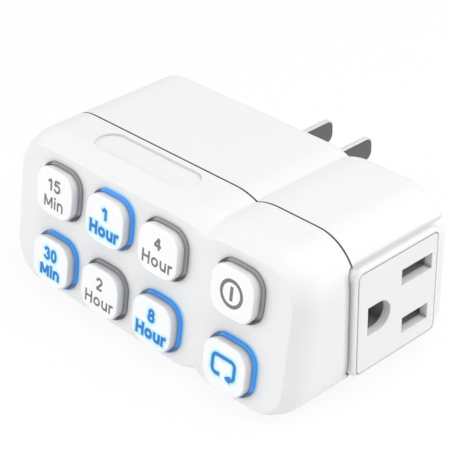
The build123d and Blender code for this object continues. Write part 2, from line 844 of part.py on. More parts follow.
with BuildPart() as ground_busbar:
    with BuildSketch(station(carrier_front)):
        with Locations((0, pin_at[1])):
            Rectangle(2 * ground_leg_x, strip_width)
    extrude(amount=strip)
    ground_clip_depth = slot_depth + ground_offset
    for end in (1, -1):
        leg_end = ground_clip_depth + clip_width / 2
        with BuildSketch(side(end * ground_leg_x)):
            with Locations((-(carrier_front + leg_end) / 2, pin_at[1])):
                Rectangle(leg_end - carrier_front, strip_width)
        extrude(amount=-end * strip)
        with BuildSketch(side(end * ground_leg_x)):
            with Locations((-ground_clip_depth, (outlet_z + pin_at[1]) / 2)):
                Rectangle(clip_width, abs(outlet_z - pin_at[1]) + ground_clip_gap)
        extrude(amount=-end * strip)
        with BuildSketch(Plane.XY.offset(outlet_z - ground_clip_gap / 2 - clip_leaf)):
            with Locations((end * (ground_leg_x + stem_x - strip) / 2, -ground_clip_depth)):
                Rectangle(stem_x - ground_leg_x + strip, clip_width)
        extrude(amount=clip_leaf)
        clip(end, ground_clip_depth, outlet_z, ground_clip_gap)
save(ground_busbar.part, "ground_busbar")

# ---- hook-up wires ----
line_x, line_z = plug_blades[1]
low_z = outlet_z - blade_pitch / 2 - strip / 2
lead_z = low_z - lead_drop
lead_x = housing_inner - lead_gap
routes = [
    [(line_x, -blade_tail["line"], line_z), (line_x, lead_bend - power_depth / 2, line_z),
     (line_x + lead_bend / 2, -lead_bend - power_depth / 2, line_z + lead_bend / 2),
     (line_x + lead_bend / 2, -power_depth, line_z + lead_bend / 2)],
]
for end in (-1, 1):
    routes.append([(end * lead_x, -power_depth, lead_z), (end * lead_x, -slot_depth, lead_z),
                   (end * lead_x, -slot_depth, low_z)])

with BuildPart() as hookup_wires:
    for route in routes:
        with BuildLine() as path:
            FilletPolyline(*route, radius=lead_diameter)
        with BuildSketch(Plane(origin=path.line @ 0, z_dir=path.line % 0)):
            Circle(lead_diameter / 2)
        sweep(path=path.line)
save(hookup_wires.part, "hookup_wires")

# ---- screws ----
with BuildPart() as casing_screws:
    grow_disc(station(casing_screw_depth), column_at, casing_screw_diameter, casing_screw_length)
    grow_disc(station(casing_screw_depth), column_at, casing_screw_head, -casing_screw_head_height)
    heads = casing_screws.faces().filter_by(Axis.Y).group_by(Axis.Y)[-1]
    with BuildSketch(*[Plane(f.center(), x_dir=(1, 0, 0), z_dir=(0, 1, 0)) for f in heads]):
        Rectangle(drive_length, drive_width)
        Rectangle(drive_width, drive_length)
    extrude(amount=-drive_depth, mode=Mode.SUBTRACT)
save(casing_screws.part, "casing_screws")

with BuildPart() as board_screws:
    grow_disc(station(power_front), post_at, screw_diameter, -screw_length + board_thickness / 2)
    grow_disc(station(power_front), post_at, screw_head, screw_head_height)
    grow_disc(panel(board_back), keypad_posts, screw_diameter, screw_length - board_thickness / 2)
    grow_disc(panel(board_back), keypad_posts, screw_head, -screw_head_height)
save(board_screws.part, "board_screws")
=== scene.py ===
# %% [markdown]
# # Dressing a plug-in timer switch
#
# The object is a white plastic box, as long as a hand is wide, that plugs into a wall outlet.
# Its sloped front carries eight push buttons with light rings, and each end has an outlet.
# The working solids are already in place as a frame: casings, buttons, contacts and boards.
# This lesson gives them their finishes, prints the legends on the buttons, and lights the scene.
# Everything is in metres, in the frame's own axes: +X to the right, -Y to the front, +Z up.

import json
from math import cos, degrees, radians, sin

import bpy
from mathutils import Matrix, Vector


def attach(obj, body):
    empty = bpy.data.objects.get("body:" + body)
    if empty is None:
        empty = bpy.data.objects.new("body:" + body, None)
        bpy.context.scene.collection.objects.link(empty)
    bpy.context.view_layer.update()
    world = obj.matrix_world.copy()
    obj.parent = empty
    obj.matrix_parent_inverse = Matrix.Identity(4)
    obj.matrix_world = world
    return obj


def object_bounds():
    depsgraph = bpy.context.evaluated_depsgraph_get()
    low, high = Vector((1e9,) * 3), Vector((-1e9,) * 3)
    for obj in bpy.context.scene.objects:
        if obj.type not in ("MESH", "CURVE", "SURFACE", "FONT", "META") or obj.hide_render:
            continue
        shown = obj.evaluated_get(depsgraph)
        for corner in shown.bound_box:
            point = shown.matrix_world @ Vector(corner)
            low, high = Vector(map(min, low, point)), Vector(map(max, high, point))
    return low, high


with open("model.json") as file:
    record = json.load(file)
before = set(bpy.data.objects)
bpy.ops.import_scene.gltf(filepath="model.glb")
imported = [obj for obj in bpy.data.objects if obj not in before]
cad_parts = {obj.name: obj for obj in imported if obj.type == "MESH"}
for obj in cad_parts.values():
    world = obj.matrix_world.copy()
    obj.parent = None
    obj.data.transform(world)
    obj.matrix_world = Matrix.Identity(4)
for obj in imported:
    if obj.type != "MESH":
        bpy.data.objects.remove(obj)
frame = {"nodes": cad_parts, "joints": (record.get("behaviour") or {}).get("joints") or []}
cad_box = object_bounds()
nodes = frame["nodes"]
mm = 0.001
print("nodes", len(nodes), "box in mm", [round((b - a) / mm, 1) for a, b in zip(*cad_box)])

# %% [markdown]
# ## The camera
#
# A product picture is taken from a good distance with a long lens, so that straight edges stay
# nearly parallel. The camera stands in front, to the right and above, and looks down at the
# buttons. Its turn is built from three plain angles, as a tripod's head is set: round, down, roll.

# %% Set the camera on its tripod
camera_place = Vector((224.24, -233.36, 187.70)) * mm
camera_round = radians(46.87)
camera_down = radians(58.74)
camera_roll = radians(-1.22)
focal_length = 124.2

bpy.ops.object.camera_add()
camera = bpy.context.object
camera.data.lens = focal_length
camera.data.sensor_width = 36.0
turn = Matrix.Rotation(camera_round, 4, "Z") @ Matrix.Rotation(camera_down, 4, "X")
turn = turn @ Matrix.Rotation(camera_roll, 4, "Z")
camera.matrix_world = Matrix.Translation(camera_place) @ turn
bpy.context.scene.camera = camera
print("camera stands", round(camera_place.length / mm), "mm from the origin")

# %% [markdown]
# ## The studio
#
# White plastic on white paper needs soft light from large lamps, or it turns grey or burns out.
# One large lamp hangs over the object, one stands in front on the left, and a weak one behind on
# the right fills the right end. The paper is a pale floor. Seen by the camera or in a reflection
# it is a flat white, mixed with a little of its own shading so that the soft shadow under the
# object stays.

# %% Hang the lamps
scene = bpy.context.scene
scene.view_settings.view_transform = "Standard"
lamp_aim = Vector((0.0, -0.025, 0.0))
air_strength = 0.48


def soft_lamp(name, place, size, power):
    """A square lamp that faces the middle of the object; size in metres, power in watts."""
    bpy.ops.object.light_add(type="AREA", location=place)
    lamp = bpy.context.object
    lamp.name = name
    lamp.data.size = size
    lamp.data.energy = power
    lamp.rotation_euler = (lamp_aim - Vector(place)).to_track_quat("-Z", "Y").to_euler()


soft_lamp("lamp_over", (0.23, 0.05, 0.71), 0.8, 4.15)
soft_lamp("lamp_front", (-0.48, -0.74, 0.06), 0.7, 4.25)
soft_lamp("lamp_right", (0.60, 0.65, 0.10), 0.6, 2.1)

world = bpy.data.worlds.new("studio_air")
scene.world = world
world.use_nodes = True
air = world.node_tree.nodes["Background"]
air.inputs["Color"].default_value = (1.0, 1.0, 1.0, 1.0)
air.inputs["Strength"].default_value = air_strength

# %% Lay the paper
floor_z = cad_box[0][2]
bpy.ops.object.select_all(action="DESELECT")
bpy.ops.mesh.primitive_plane_add(size=4.0, location=(0.0, 0.0, floor_z))
paper = bpy.context.object
paper.name = "paper"
bpy.ops.object.transform_apply(location=True, rotation=True, scale=True)
print("paper lies at", round(floor_z / mm, 2), "mm")

# %% Finish the paper
flat_white_share = 0.90
paper_finish = bpy.data.materials.new("paper")
paper_finish.use_nodes = True
tree = paper_finish.node_tree
matt = tree.nodes["Principled BSDF"]
matt.inputs["Base Color"].default_value = (0.92, 0.92, 0.92, 1.0)
matt.inputs["Roughness"].default_value = 0.9
glow = tree.nodes.new("ShaderNodeEmission")
glow.inputs["Strength"].default_value = 1.0
rays = tree.nodes.new("ShaderNodeLightPath")
seen = tree.nodes.new("ShaderNodeMath")
seen.operation = "MAXIMUM"
tree.links.new(rays.outputs["Is Camera Ray"], seen.inputs[0])
tree.links.new(rays.outputs["Is Glossy Ray"], seen.inputs[1])
share = tree.nodes.new("ShaderNodeMath")
share.operation = "MULTIPLY"
share.inputs[1].default_value = flat_white_share
tree.links.new(seen.outputs[0], share.inputs[0])
mix = tree.nodes.new("ShaderNodeMixShader")
tree.links.new(share.outputs[0], mix.inputs[0])
tree.links.new(matt.outputs[0], mix.inputs[1])
tree.links.new(glow.outputs[0], mix.inputs[2])
tree.links.new(mix.outputs[0], tree.nodes["Material Output"].inputs["Surface"])
paper.data.materials.append(paper_finish)
print("share of flat white in the paper", flat_white_share)

# %% [markdown]
# ## A recipe for moulded plastic
#
# Moulded plastic isn't one flat colour. Its mould was spark-eroded, which leaves a very fine
# grain, the melt cools unevenly, which leaves a faint cloud in the colour, and gloss varies a
# little with both. One helper builds these three layers on Object coordinates, so that the
# pattern stays with the piece when a button moves, and each finish sets its own amounts. It can
# also paint shade into nooks, which are places where other surfaces stand close by.

# %% Small node helpers


def add_noise(tree, scale, detail):
    """Noise over the piece's own coordinates; scale is in waves per metre."""
    place = tree.nodes.new("ShaderNodeTexCoord")
    noise = tree.nodes.new("ShaderNodeTexNoise")
    noise.inputs["Scale"].default_value = scale
    noise.inputs["Detail"].default_value = detail
    tree.links.new(place.outputs["Object"], noise.inputs["Vector"])
    return noise.outputs["Fac"]


def spread(tree, value, low, high):
    """Map a 0 to 1 value onto a range."""
    ranged = tree.nodes.new("ShaderNodeMapRange")
    ranged.inputs["To Min"].default_value = low
    ranged.inputs["To Max"].default_value = high
    tree.links.new(value, ranged.inputs["Value"])
    return ranged.outputs["Result"]


def blend_colours(tree, value, first, second):
    """Mix two colours by a value; either colour may be another node's output."""
    mix = tree.nodes.new("ShaderNodeMix")
    mix.data_type = "RGBA"
    tree.links.new(value, mix.inputs["Factor"])
    for socket, colour in ((mix.inputs["A"], first), (mix.inputs["B"], second)):
        if isinstance(colour, tuple):
            socket.default_value = (*colour, 1.0)
        else:
            tree.links.new(colour, socket)
    return mix.outputs["Result"]


print("noise, spread and blend ready")

# %% The moulded plastic helper
nook_reach = 1.2 * mm
cloud_waves = 60.0
gloss_drift = 0.04


def moulded(name, colour, cloud=0.02, gloss=0.35, grain=0.02, grain_size=0.25, metal=0.0, nook_shade=0.0):
    """A finish: a base colour with a faint cloud, uneven gloss, fine grain and painted shade in nooks.

    The grain's size is in millimetres, and the other amounts run from 0 to 1. A low gloss value
    is a shiny finish, since it is the roughness.
    """
    finish = bpy.data.materials.new(name)
    finish.use_nodes = True
    tree = finish.node_tree
    shader = tree.nodes["Principled BSDF"]
    darker = tuple(c * (1.0 - cloud) for c in colour)
    drift = add_noise(tree, cloud_waves, 2.0)
    base = blend_colours(tree, drift, darker, colour)
    # Painted shade: ambient occlusion darkens the colour where other surfaces stand close by.
    if nook_shade:
        shelter = tree.nodes.new("ShaderNodeAmbientOcclusion")
        shelter.inputs["Distance"].default_value = nook_reach
        shaded = tuple(c * (1.0 - nook_shade) for c in colour)
        base = blend_colours(tree, shelter.outputs["AO"], shaded, base)
    tree.links.new(base, shader.inputs["Base Color"])
    roughness = spread(tree, drift, gloss - gloss_drift, gloss + gloss_drift)
    tree.links.new(roughness, shader.inputs["Roughness"])
    shader.inputs["Metallic"].default_value = metal
    bump = tree.nodes.new("ShaderNodeBump")
    bump.inputs["Strength"].default_value = grain
    bump.inputs["Distance"].default_value = grain_size * mm
    tree.links.new(add_noise(tree, 1.0 / (grain_size * mm), 1.0), bump.inputs["Height"])
    tree.links.new(bump.outputs["Normal"], shader.inputs["Normal"])
    return finish


def finish_nodes(finish, *names):
    """Give a finish to CAD nodes, in place of what they came with."""
    for name in names:
        nodes[name].data.materials.clear()
        nodes[name].data.materials.append(finish)


print("moulded plastic ready")

# %% [markdown]
# ## Places on the object
#
# Some finishes change from place to place: the casing gets painted light from the glow of a lit
# ring, and a cap gets painted shade that makes it greyer on its sides. So the next cells find the
# panel's directions and each button's middle, and make small helpers that turn a place into a
# value from 0 to 1.

# %% Directions on the sloped panel
press = Vector(frame["joints"][0]["axis"]).normalized()
panel_out = -press
panel_across = Vector((1.0, 0.0, 0.0))
panel_up = panel_out.cross(panel_across)
button_names = [joint["name"].removeprefix("press_") for joint in frame["joints"]]
lit_buttons = ["1_hour", "30_min", "8_hour", "repeat"]


def span(name, direction):
    """Lowest and highest reach of a node along a direction."""
    reach = [v.co.dot(direction) for v in nodes[name].data.vertices]
    return min(reach), max(reach)


def cap_middle(name, direction):
    """Middle of a button's cap along a direction."""
    return sum(span(f"button_cap_{name}", direction)) / 2


def cap_place(name):
    """Matrix that puts a drawing on the outer face of a cap: x across, y up the panel, z out."""
    middle = panel_across * cap_middle(name, panel_across) + panel_up * cap_middle(name, panel_up)
    middle += panel_out * span(f"button_cap_{name}", panel_out)[1]
    place = Matrix((panel_across, panel_up, panel_out)).transposed().to_4x4()
    return Matrix.Translation(middle) @ place


cap_stands_out = 2.8 * mm
panel_level = span("button_cap_1_hour", panel_out)[1] - cap_stands_out
print("buttons", button_names, "panel level", round(panel_level / mm, 2))

# %% Distances as values


def calculate(tree, operation, first, second=0.0):
    """One step of arithmetic; each value is a node's output or a plain number."""
    step = tree.nodes.new("ShaderNodeMath")
    step.operation = operation
    for socket, value in zip(step.inputs, (first, second)):
        if isinstance(value, (int, float)):
            socket.default_value = value
        else:
            tree.links.new(value, socket)
    return step.outputs["Value"]


def along(tree, direction, middle=0.0):
    """Distance of a point along a direction, from a middle, in millimetres."""
    place = tree.nodes.new("ShaderNodeTexCoord")
    reach = tree.nodes.new("ShaderNodeVectorMath")
    reach.operation = "DOT_PRODUCT"
    reach.inputs[1].default_value = Vector(direction) / mm
    tree.links.new(place.outputs["Object"], reach.inputs[0])
    return calculate(tree, "SUBTRACT", reach.outputs["Value"], middle)


def off(tree, direction, middle=0.0):
    """Distance off a middle, to either side along a direction, in millimetres."""
    return calculate(tree, "ABSOLUTE", along(tree, direction, middle))


print("distance helpers ready")

# %% Soft limits, and colours laid on by them


def rise(tree, value, start, end):
    """0 at the start, 1 at the end and a soft run between them."""
    ramp = tree.nodes.new("ShaderNodeMapRange")
    ramp.interpolation_type = "SMOOTHSTEP"
    ramp.inputs["From Min"].default_value = start
    ramp.inputs["From Max"].default_value = end
    tree.links.new(value, ramp.inputs["Value"])
    return ramp.outputs["Result"]


def both(tree, first, second):
    """1 where two values are both 1."""
    return calculate(tree, "MULTIPLY", first, second)


def recolour(finish, value, colour):
    """Lay a colour over what a finish already has, by a value."""
    tree = finish.node_tree
    base = tree.nodes["Principled BSDF"].inputs["Base Color"]
    before = base.links[0].from_socket
    tree.links.new(blend_colours(tree, value, before, colour), base)


print("limit helpers ready")

# %% Where a button's ring reaches
ring_half_width, ring_half_height = 7.1, 6.5
ring_squareness = 3.4


def button_middle(name):
    """Middle of a button in millimetres, across the panel and up it."""
    return cap_middle(name, panel_across) / mm, cap_middle(name, panel_up) / mm


def ring_reach(tree, name):
    """0 in a button's middle, 1 at its ring's outer edge; also the two ways off the middle."""
    across, up = button_middle(name)
    wide = calculate(tree, "DIVIDE", along(tree, panel_across, across), ring_half_width)
    tall = calculate(tree, "DIVIDE", along(tree, panel_up, up), ring_half_height)
    sizes = [calculate(tree, "ABSOLUTE", way) for way in (wide, tall)]
    powers = [calculate(tree, "POWER", size, ring_squareness) for size in sizes]
    return calculate(tree, "ADD", *powers), wide, tall


print("middle of the first button", [round(c, 1) for c in button_middle(button_names[0])])

# %% [markdown]
# ## The casings
#
# The two casings come from one white resin, with a satin surface. Light gets lost in a narrow
# place, so the joint between the casings and the groove beside each outlet look dark, while wide
# places stay white. Painted shade in nooks alone can't tell one from the other, so each such place
# gets a painted colour of its own, shade or plain white: soft limits along the axes say where it
# starts and ends, and their product bounds it.

# %% Measures of the ends, in millimetres
resin = (0.87, 0.87, 0.873)
rightward, backward, upward = (1.0, 0.0, 0.0), (0.0, 1.0, 0.0), (0.0, 0.0, 1.0)
end_face = 47.1
frame_low, frame_high = -13.8, 13.5
joint_front, joint_back = -30.95, -30.5
plate_depth, plate_height = -18.05, -0.3
pocket_half_length, pocket_half_height = 12.95, 12.9
print("outlet frames are", round(frame_high - frame_low, 1), "mm high")

# %% Helpers for the ends


def near_ends(tree, start, end):
    """0 at a start and 1 at an end, both measured outward from the casings' flat ends."""
    return rise(tree, off(tree, rightward), end_face + start, end_face + end)


def beside_frames(tree, start, end):
    """0 at a start and 1 at an end, both measured outward from a frame's lower or upper edge."""
    height = off(tree, upward, (frame_low + frame_high) / 2)
    beyond = calculate(tree, "SUBTRACT", height, (frame_high - frame_low) / 2)
    return rise(tree, beyond, start, end)


def casing_finish(name, nook_shade):
    """White resin with painted shade in nooks."""
    return moulded(name, resin, cloud=0.01, gloss=0.42, grain=0.05, nook_shade=nook_shade)


print("end helpers ready")

# %% [markdown]
# ## The outlet frames
#
# The rear casing carries a raised frame round each outlet, which reaches forward into a notch of
# the front casing. What stands in front of the joint is open to the light and stays white, free of
# the painted nook shade. The foot of the frame's top, where it meets the casing, gets a little
# painted shade.

# %% Finish the outlet frames
rear_white = casing_finish("rear_casing_white", 0.7)
tree = rear_white.node_tree
depth = along(tree, backward)
height = along(tree, upward)

# The frame in front of the joint gets its plain white back, without the painted nook shade.
frame_itself = both(tree, near_ends(tree, -1.8, -0.5), beside_frames(tree, 0.95, -0.25))
before_joint = rise(tree, depth, joint_back + 0.5, joint_front - 0.05)
recolour(rear_white, both(tree, before_joint, frame_itself), resin)

# Painted shade at the foot of the frame's top, where it meets the casing.
foot_shade_grey = (0.64, 0.64, 0.645)
above = along(tree, upward, frame_high)
foot_height = both(tree, rise(tree, above, 0.9, 0.0), rise(tree, above, -0.3, -0.05))
foot_reach = both(tree, near_ends(tree, -2.5, -1.7), near_ends(tree, 0.5, -0.7))
recolour(rear_white, both(tree, foot_height, foot_reach), foot_shade_grey)
print("outlet frames finished")

# %% [markdown]
# ## The pockets of the outlet plates
#
# Each frame has a pocket for its plate, with a narrow seam between them. Light that comes in over
# the plate falls on the far walls, the rear one and the low one. So the pocket keeps the resin's
# full colour, and a faint glow on those two walls adds to the light that they send back.

# %% Keep the pockets pale
wall_glow = 0.2
beside_plate = off(tree, backward, plate_depth)
above_plate = off(tree, upward, plate_height)
inside_length = rise(tree, beside_plate, pocket_half_length + 0.25, pocket_half_length + 0.1)
inside_height = rise(tree, above_plate, pocket_half_height + 0.25, pocket_half_height + 0.1)
in_pocket = both(tree, both(tree, inside_length, inside_height), near_ends(tree, -1.1, -0.6))
recolour(rear_white, in_pocket, resin)

rear_wall = plate_depth + pocket_half_length
low_wall = plate_height - pocket_half_height
at_rear_wall = rise(tree, depth, rear_wall - 0.4, rear_wall - 0.1)
at_low_wall = rise(tree, height, low_wall + 0.3, low_wall + 0.1)
far_walls = both(tree, in_pocket, calculate(tree, "MAXIMUM", at_rear_wall, at_low_wall))
# Painted light: a faint glow on the pocket's far walls stands in for the light they send back.
returned_light = calculate(tree, "MULTIPLY", far_walls, wall_glow)
shader = tree.nodes["Principled BSDF"]
shader.inputs["Emission Color"].default_value = (1.0, 1.0, 1.0, 1.0)
tree.links.new(returned_light, shader.inputs["Emission Strength"])
print("far walls at", round(rear_wall, 2), "and", round(low_wall, 2))

# %% [markdown]
# ## The joint between the casings
#
# The casings meet in a narrow gap, and the rear casing's lip shows at its bottom, where hardly
# any light comes. So the lip gets a very dark grey there, painted shade. The outlet frames, which
# cross the joint, and the corner under them stay white.

# %% Paint shade into the joint
joint_shade_grey = (0.10, 0.10, 0.105)
behind_front = rise(tree, depth, joint_front - 0.15, joint_front)
before_back = rise(tree, depth, joint_back + 0.1, joint_back - 0.05)
in_the_joint = both(tree, behind_front, before_back)
at_the_ends = near_ends(tree, -4.1, -3.5)
on_a_frame = both(tree, at_the_ends, beside_frames(tree, 0.1, -0.15))
under_a_frame = both(tree, at_the_ends, rise(tree, height, frame_low + 0.5, frame_low + 0.2))
kept_white = calculate(tree, "MAXIMUM", on_a_frame, under_a_frame)
shaded_joint = both(tree, in_the_joint, rise(tree, kept_white, 0.5, 0.0))
recolour(rear_white, shaded_joint, joint_shade_grey)
finish_nodes(rear_white, "rear_casing")
print("joint is", round(joint_back - joint_front, 2), "mm wide")

# %% [markdown]
# ## The front casing
#
# At each end the front casing turns softly into the groove round the outlet frame, and gets
# painted shade there. On the panel it gets painted light, a little of the light that leaks out
# round the lit rings, though not at the two corners of a ring that its lamp doesn't reach.

# %% Finish the front casing
front_white = casing_finish("front_casing_white", 0.35)
tree = front_white.node_tree
# Painted shade where the casing turns into the groove beside each outlet.
groove_shade_grey = (0.42, 0.42, 0.425)
towards_groove = rise(tree, along(tree, backward), joint_front - 3.45, joint_front - 0.95)
at_the_groove = both(tree, near_ends(tree, -1.8, -0.5), beside_frames(tree, 0.75, -3.25))
recolour(front_white, both(tree, towards_groove, at_the_groove), groove_shade_grey)

# Painted light: a blue glow on the panel round each lit ring.
leaked_glow_blue = (0.28, 0.70, 0.96)
for name in lit_buttons:
    reach, wide, tall = ring_reach(tree, name)
    round_the_ring = rise(tree, reach, 1.55, 0.95)
    off_the_corners = rise(tree, calculate(tree, "MULTIPLY", wide, tall), -0.60, -0.42)
    recolour(front_white, both(tree, round_the_ring, off_the_corners), leaked_glow_blue)
finish_nodes(front_white, "front_casing")
print("glow round", lit_buttons)

# %% [markdown]
# ## The outlets
#
# The outlet plates are white, with much darker painted shade in their nooks, because their seams
# get hardly any light. The contact housings behind the slots and the carrier of the plug's blades
# are of a grey plastic that stands heat.

# %% Finish the outlets
plate_white = moulded("outlet_plate_white", (0.87, 0.87, 0.875), gloss=0.38, grain=0.04, nook_shade=0.8)
housing_grey = moulded("housing_grey", (0.42, 0.42, 0.425), cloud=0.15, gloss=0.45, grain=0.1)
finish_nodes(plate_white, "outlet_plate_right", "outlet_plate_left")
finish_nodes(housing_grey, "contact_housing_right", "contact_housing_left", "blade_carrier")
print("outlets finished")

# %% [markdown]
# ## The buttons
#
# Each button is a bright white cap on a grey skirt, inside a ring that guides the light of a
# small lamp. Four functions are switched on: their rings glow blue, greyer on the inside, and
# the others are a smoky grey. Each ring gets painted shade at the two corners that its lamp doesn't
# reach. The skirt gets painted shade towards its foot, where less light reaches it, and so do a
# cap's sides.

# %% A finish that changes with the level above the panel


def banded(name, foot_colour, top_colour, low, high, gloss=0.4):
    """Plastic whose colour runs from a foot level to a top level along the panel's normal."""
    finish = moulded(name, top_colour, gloss=gloss, grain=0.03)
    tree = finish.node_tree
    level = along(tree, panel_out, panel_level / mm)
    foot = rise(tree, level, high, low)
    recolour(finish, foot, foot_colour)
    return finish


print("banded finish ready")

# %% Finish the caps, skirts and rings
# Painted shade: a cap's sides and a skirt's foot are darker towards the panel.
cap_white = banded("cap_white", (0.74, 0.74, 0.745), (0.97, 0.97, 0.975), 2.5, 2.78, gloss=0.36)
skirt_grey = banded("skirt_grey", (0.50, 0.51, 0.52), (0.74, 0.74, 0.745), 0.3, 1.9)
inner_grey = (0.26, 0.33, 0.42)
# Painted shade at two corners of each ring.
corner_shade_grey = (0.07, 0.07, 0.075)
# The product of both ways off a button's middle, in square millimetres, is lowest at two corners.
dark_start, dark_end = -21.0, -25.5


def ring_finish(name):
    """A ring's own finish: blue when lit and greyer inside, else smoky, with painted shade at two
    corners.
    """
    if name in lit_buttons:
        finish = moulded(f"ring_blue_{name}", (0.075, 0.33, 0.80), gloss=0.3)
        shader = finish.node_tree.nodes["Principled BSDF"]
        shader.inputs["Emission Color"].default_value = (0.04, 0.24, 0.75, 1.0)
        shader.inputs["Emission Strength"].default_value = 0.2
        reach = ring_reach(finish.node_tree, name)[0]
        recolour(finish, rise(finish.node_tree, reach, 0.74, 0.56), inner_grey)
    else:
        finish = banded(f"ring_smoke_{name}", (0.24, 0.24, 0.245), (0.36, 0.36, 0.365), 0.0, 0.7)
    tree = finish.node_tree
    across, up = button_middle(name)
    ways = along(tree, panel_across, across), along(tree, panel_up, up)
    recolour(finish, rise(tree, calculate(tree, "MULTIPLY", *ways), dark_start, dark_end), corner_shade_grey)
    return finish


for name in button_names:
    finish_nodes(cap_white, f"button_cap_{name}")
    finish_nodes(skirt_grey, f"button_skirt_{name}")
    finish_nodes(ring_finish(name), f"light_ring_{name}")
print("lit buttons", lit_buttons)

# %% [markdown]
# ## The legends
#
# The legends are windows in the caps' white skin. Each letter is drawn with strokes of one even
# width, as a sign writer draws it, so every letter is a list of short paths. A capital letter
# or a digit is 1 high and a small letter is 0.7 high.

# %% Draw the letters as paths


def arc(x, y, wide, tall, start, end, steps=20):
    """Points of an ellipse's arc between two angles in degrees."""
    turns = [radians(start + (end - start) * i / steps) for i in range(steps + 1)]
    return [(x + wide * cos(t), y + tall * sin(t)) for t in turns]


letters = {
    "H": [[(0, 0), (0, 1)], [(0.64, 0), (0.64, 1)], [(0, 0.52), (0.64, 0.52)]],
    "M": [[(0, 0), (0, 1), (0.4, 0.12), (0.8, 1), (0.8, 0)]],
    "o": [arc(0.29, 0.36, 0.29, 0.31, 0, 360)],
    "u": [[(0, 0.7), (0, 0.3)] + arc(0.25, 0.3, 0.25, 0.25, 180, 360), [(0.5, 0.7), (0.5, 0)]],
    "r": [[(0, 0.7), (0, 0)], arc(0.26, 0.42, 0.26, 0.26, 180, 75)],
    "i": [[(0, 0.72), (0, 0)], [(0, 0.95), (0, 1.06)]],
    "n": [[(0, 0.72), (0, 0)], arc(0.25, 0.47, 0.25, 0.25, 180, 0) + [(0.5, 0)]],
    "0": [arc(0.27, 0.5, 0.27, 0.5, 0, 360)],
    "1": [[(0, 0.76), (0.26, 0.98), (0.26, 0)]],
    "2": [arc(0.27, 0.72, 0.27, 0.28, 160, -35) + [(0, 0), (0.56, 0)]],
    "3": [arc(0.26, 0.75, 0.24, 0.25, 160, -90) + arc(0.26, 0.26, 0.28, 0.26, 90, -160)],
    "4": [[(0.42, 0), (0.42, 1), (0, 0.3), (0.58, 0.3)]],
    "5": [[(0.52, 1), (0.1, 1), (0.05, 0.56)] + arc(0.26, 0.33, 0.28, 0.33, 125, -150)],
    "8": [arc(0.27, 0.76, 0.22, 0.24, 0, 360), arc(0.27, 0.27, 0.27, 0.27, 0, 360)],
}
print("letters drawn", "".join(sorted(letters)))

# %% Set letters into a word
letter_gap = 0.34


def spell(text, left, right, low, high):
    """Paths of a word that fill a box, given in millimetres on the cap."""
    paths = []
    reach = 0.0
    for character in text:
        shapes = letters[character]
        paths += [[(reach + x, y) for x, y in path] for path in shapes]
        reach += max(x for path in shapes for x, y in path) + letter_gap
    wide = (right - left) / (reach - letter_gap)
    tall = high - low
    return [[(left + x * wide, low + y * tall) for x, y in path] for path in paths]


print("a word of three letters has", len(spell("Min", 0, 1, 0, 1)), "paths")

# %% [markdown]
# ## The ink
#
# A lit legend glows blue, inside two pale halos of painted light where light leaks through the
# white, and an unlit one is grey. A curve with a round section follows the paths, becomes a mesh,
# is pressed flat and is laid on the cap, where it rides on the button. The halos are wider and
# lower than the ink, so the ink lies on top of them.

# %% Mix the inks
ink_grey = moulded("ink_grey", (0.18, 0.18, 0.185), gloss=0.5)
ink_blue = moulded("ink_blue", (0.012, 0.175, 0.54), gloss=0.5)
ink_glow = ink_blue.node_tree.nodes["Principled BSDF"]
ink_glow.inputs["Emission Color"].default_value = (0.01, 0.14, 0.46, 1.0)
ink_glow.inputs["Emission Strength"].default_value = 0.15
ink_height = 0.05
# Painted light: the halos' pale colours stand in for light leaking round a lit legend.
# Name, extra width, height and finish of each halo; lengths in millimetres.
halos = [
    ("halo", 0.75, 0.016, moulded("halo_near", (0.37, 0.81, 0.98), gloss=0.5)),
    ("leak", 1.6, 0.008, moulded("halo_far", (0.77, 0.945, 0.98), gloss=0.5)),
]
print("ink is", ink_height, "mm high, with", len(halos), "halos")

# %% Prepare paths for a broad round pen
sharp_turn = radians(35)


def ends_where_it_starts(path):
    """Whether a path is closed."""
    return (Vector(path[0]) - Vector(path[-1])).length < 1e-6


def cut_at_corners(path):
    """Cut a path where it turns sharply, because a bevelled curve gets thin at such a point."""
    pieces = []
    piece = path[:1]
    for before, corner, after in zip(path, path[1:], path[2:]):
        piece.append(corner)
        first, second = Vector(corner) - Vector(before), Vector(after) - Vector(corner)
        if first.angle(second, 0.0) > sharp_turn:
            pieces.append(piece)
            piece = [corner]
    return pieces + [piece + path[-1:]]


def lengthen(path, reach):
    """Move both ends of an open path outward, since a broad pen goes past the end."""
    if ends_where_it_starts(path):
        return path
    start, end = Vector(path[0]), Vector(path[-1])
    start += (start - Vector(path[1])).normalized() * reach
    end += (end - Vector(path[-2])).normalized() * reach
    return [tuple(start), *path[1:-1], tuple(end)]


print("paths are cut where they turn by more than", round(degrees(sharp_turn)), "degrees")

# %% Follow paths with a flat ribbon


def ribbon(paths, stroke, reach, height):
    """A flat mesh that follows paths; stroke width, reach past the ends and height in millimetres."""
    line = bpy.data.curves.new("line", "CURVE")
    line.dimensions = "3D"
    line.bevel_depth = stroke / 2
    line.bevel_resolution = 3
    line.use_fill_caps = True
    for path in [piece for path in paths for piece in cut_at_corners(lengthen(path, reach))]:
        closed = ends_where_it_starts(path)
        points = path[:-1] if closed else path
        spline = line.splines.new("POLY")
        spline.use_smooth = False
        spline.points.add(len(points) - 1)
        for point, (x, y) in zip(spline.points, points):
            point.co = (x, y, 0.0, 1.0)
        spline.use_cyclic_u = closed
    drawing = bpy.data.objects.new("drawing", line)
    scene.collection.objects.link(drawing)
    bpy.ops.object.select_all(action="DESELECT")
    drawing.select_set(True)
    bpy.context.view_layer.objects.active = drawing
    bpy.ops.object.convert(target="MESH")
    drawing = bpy.context.object
    # Pressed flat, half of the round section stands on the cap and half is sunk in it.
    flatness = 2 * height / stroke
    drawing.data.transform(Matrix.Diagonal((mm, mm, mm * flatness, 1.0)))
    return drawing


print("ribbon ready")

